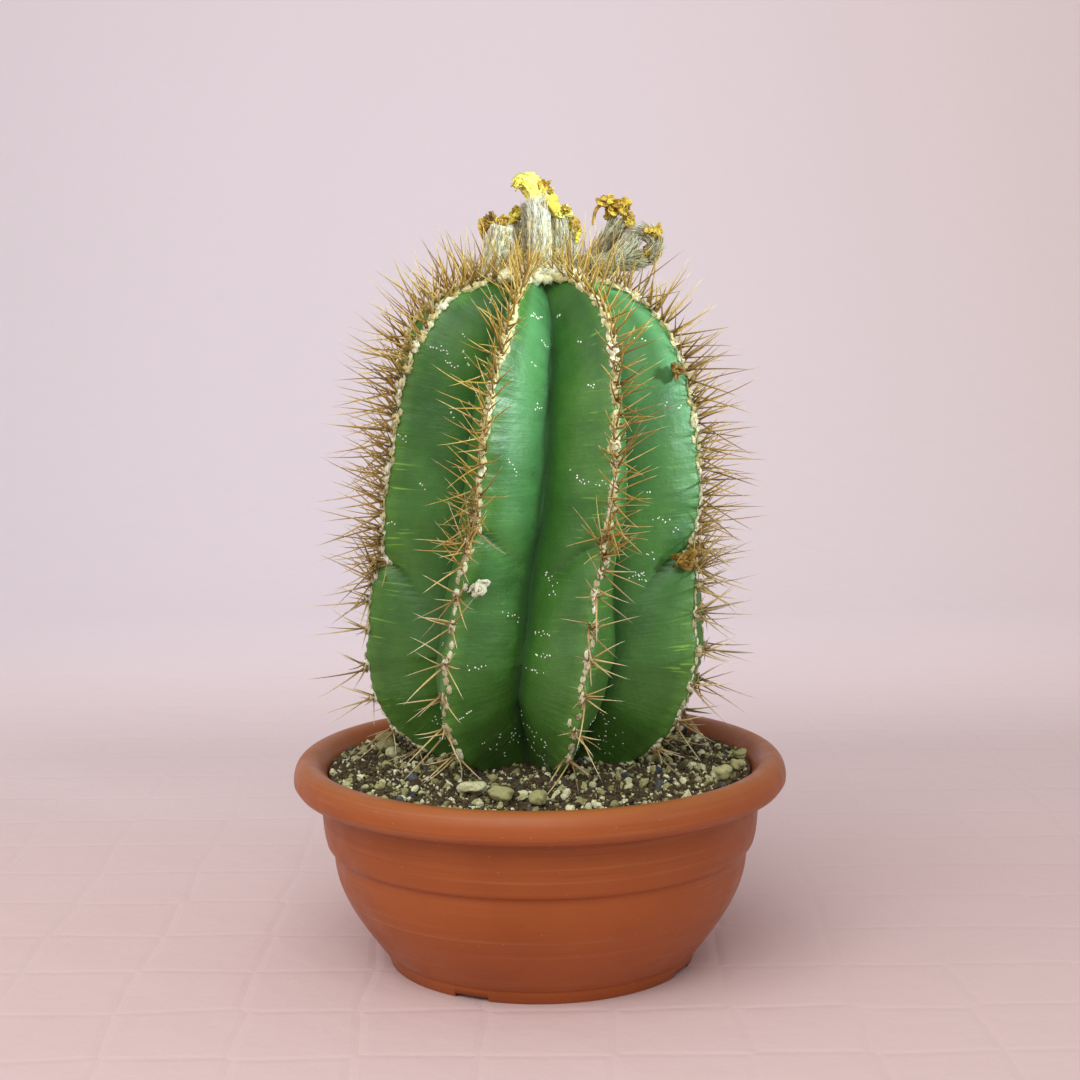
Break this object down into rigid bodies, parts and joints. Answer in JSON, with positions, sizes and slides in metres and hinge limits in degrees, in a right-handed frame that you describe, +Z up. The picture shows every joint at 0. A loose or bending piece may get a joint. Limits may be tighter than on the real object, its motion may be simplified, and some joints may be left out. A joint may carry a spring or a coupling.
{
  "type": "potted columnar cactus",
  "caption": "Deep-ribbed oval cactus with felted rows of long spines and dried flowers on its crown, in a terracotta-coloured plastic bowl pot of gritty soil.",
  "frame": {"origin": "on the floor, at the middle of the pot's foot", "axes": "+Z up, -Y towards the front, +X to the right seen from the front"},
  "size_m": [0.25, 0.25, 0.3948],
  "materials": {
    "pot_plastic": "satin",
    "potting_soil": "matte",
    "stem_skin": "satin",
    "felt_and_spines": "matte",
    "wool": "matte",
    "dried_tube": "matte",
    "dried_petal": "matte",
    "pumice": "matte"
  },
  "bodies": {
    "root": {"pot": "pot_plastic", "soil": "potting_soil", "stem": "stem_skin", "crown_wool": "wool", "areole_row_1": "felt_and_spines", "areole_row_2": "felt_and_spines", "areole_row_3": "felt_and_spines", "areole_row_4": "felt_and_spines", "areole_row_5": "felt_and_spines", "areole_row_6": "felt_and_spines", "areole_row_7": "felt_and_spines", "areole_row_8": "felt_and_spines", "flower_1_tube": "dried_tube", "flower_2_tube": "dried_tube", "flower_3_tube": "dried_tube", "flower_4_tube": "dried_tube", "flower_5_tube": "dried_tube", "flower_6_tube": "dried_tube", "flower_7_tube": "dried_tube", "flower_1_petals": "dried_petal", "flower_2_petals": "dried_petal", "flower_3_petals": "dried_petal", "flower_4_petals": "dried_petal", "flower_5_petals": "dried_petal", "flower_6_petals": "dried_petal", "flower_7_petals": "dried_petal", "dried_bud": "dried_petal", "dried_curl": "dried_petal", "dried_clump": "dried_petal", "pumice_1": "pumice", "pumice_2": "pumice", "pumice_3": "pumice", "pumice_4": "pumice", "pumice_5": "pumice", "pumice_6": "pumice", "pumice_7": "pumice", "pumice_8": "pumice", "pumice_9": "pumice", "pumice_10": "pumice", "pumice_11": "pumice", "pumice_12": "pumice"}
  },
  "joints": []
}
